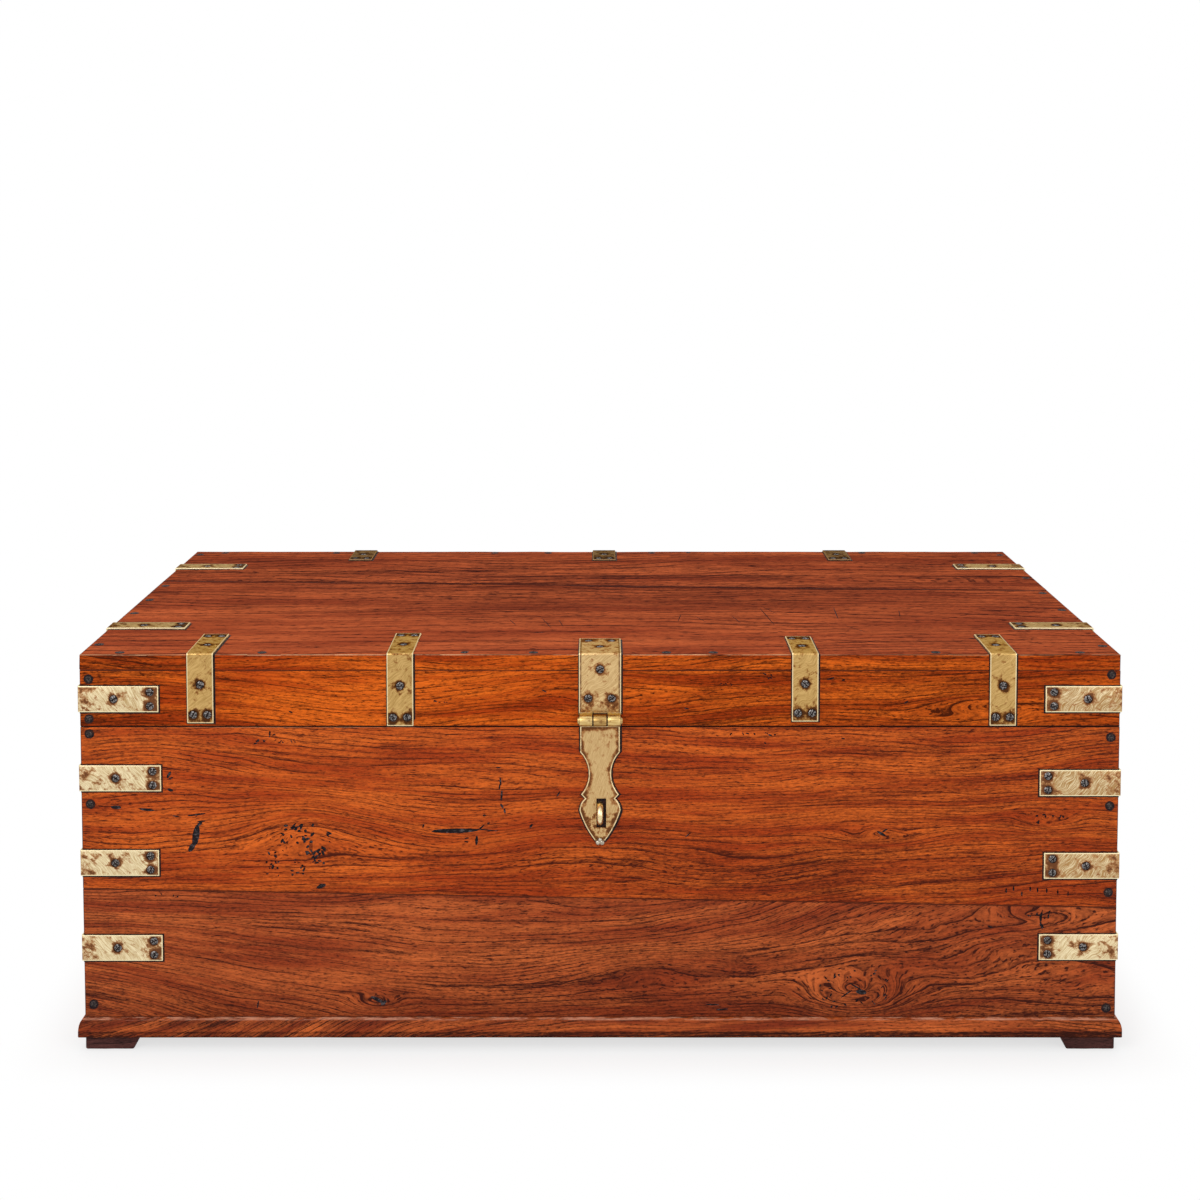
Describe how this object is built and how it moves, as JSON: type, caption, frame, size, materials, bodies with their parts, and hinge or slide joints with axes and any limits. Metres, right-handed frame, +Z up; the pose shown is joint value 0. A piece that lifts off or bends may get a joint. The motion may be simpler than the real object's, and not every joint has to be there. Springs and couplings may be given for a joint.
{
  "type": "chest",
  "caption": "Low boarded wooden chest bound with bent brass straps, with a hinged lid, a hasp and staple for a padlock, and a drop handle on each end.",
  "frame": {"origin": "on the floor under the middle of the case", "axes": "+X to the right seen from the front, +Y to the back, +Z up; the hasp is on the front, which faces -Y"},
  "size_m": [1.164, 0.6108, 0.4375],
  "materials": {
    "teak": "old reddish-brown teak, oiled and worn, with open dark grain",
    "dark_wood": "near-black brown stained wood, satin",
    "brass": "old brass, brushed, with brown tarnish round the screws",
    "aged_brass": "brass under dark olive-brown patina",
    "dark_steel": "dull dark steel, slightly rusted"
  },
  "bodies": {
    "case": {"back_lower_board": "teak", "back_upper_board": "teak", "bottom_back_board": "teak", "bottom_front_board": "teak", "bottom_middle_board": "teak", "case_nails": "dark_steel", "case_screws": "dark_steel", "case_straps_back_left": "brass", "case_straps_back_right": "brass", "case_straps_front_left": "brass", "case_straps_front_right": "brass", "foot_back_left": "dark_wood", "foot_back_right": "dark_wood", "foot_front_left": "dark_wood", "foot_front_right": "dark_wood", "front_lower_board": "teak", "front_upper_board": "teak", "handle_eyes": "brass", "hasp_staple": "brass", "hinge_lower_leaves": "aged_brass", "hinge_pins": "aged_brass", "left_end_lower_board": "teak", "left_end_upper_board": "teak", "plinth_back": "teak", "plinth_front": "teak", "plinth_left": "teak", "plinth_right": "teak", "right_end_lower_board": "teak", "right_end_upper_board": "teak"},
    "lid": {"lid_back_board": "teak", "lid_back_rail": "teak", "lid_corner_strap_back_left": "brass", "lid_corner_strap_back_right": "brass", "lid_corner_strap_front_left": "brass", "lid_corner_strap_front_right": "brass", "lid_end_straps_left": "brass", "lid_end_straps_right": "brass", "lid_front_board": "teak", "lid_front_rail": "teak", "lid_front_strap_far_left": "brass", "lid_front_strap_far_right": "brass", "lid_front_strap_near_left": "brass", "lid_front_strap_near_right": "brass", "lid_left_rail": "teak", "lid_nails": "dark_steel", "lid_right_rail": "teak", "lid_screws": "dark_steel", "hinge_upper_leaves": "aged_brass", "hasp_plate": "brass", "hasp_pin": "brass"},
    "hasp": {"hasp_leaf": "brass"},
    "left_handle": {"left_handle": "brass"},
    "right_handle": {"right_handle": "brass"}
  },
  "joints": [
    {"name": "lid_hinge", "type": "hinge", "parent": "case", "child": "lid", "pos_m": [0, 0.29585, 0.3572], "axis": [-1, 0, 0], "range_deg": [0, 105]},
    {"name": "hasp_hinge", "type": "hinge", "parent": "lid", "child": "hasp", "pos_m": [0, -0.2966, 0.3655], "axis": [-1, 0, 0], "range_deg": [0, 184]},
    {"name": "left_handle_hinge", "type": "hinge", "parent": "case", "child": "left_handle", "pos_m": [-0.574, 0, 0.236], "axis": [0, 1, 0], "range_deg": [-7, 170]},
    {"name": "right_handle_hinge", "type": "hinge", "parent": "case", "child": "right_handle", "pos_m": [0.574, 0, 0.236], "axis": [0, -1, 0], "range_deg": [-7, 170]}
  ]
}
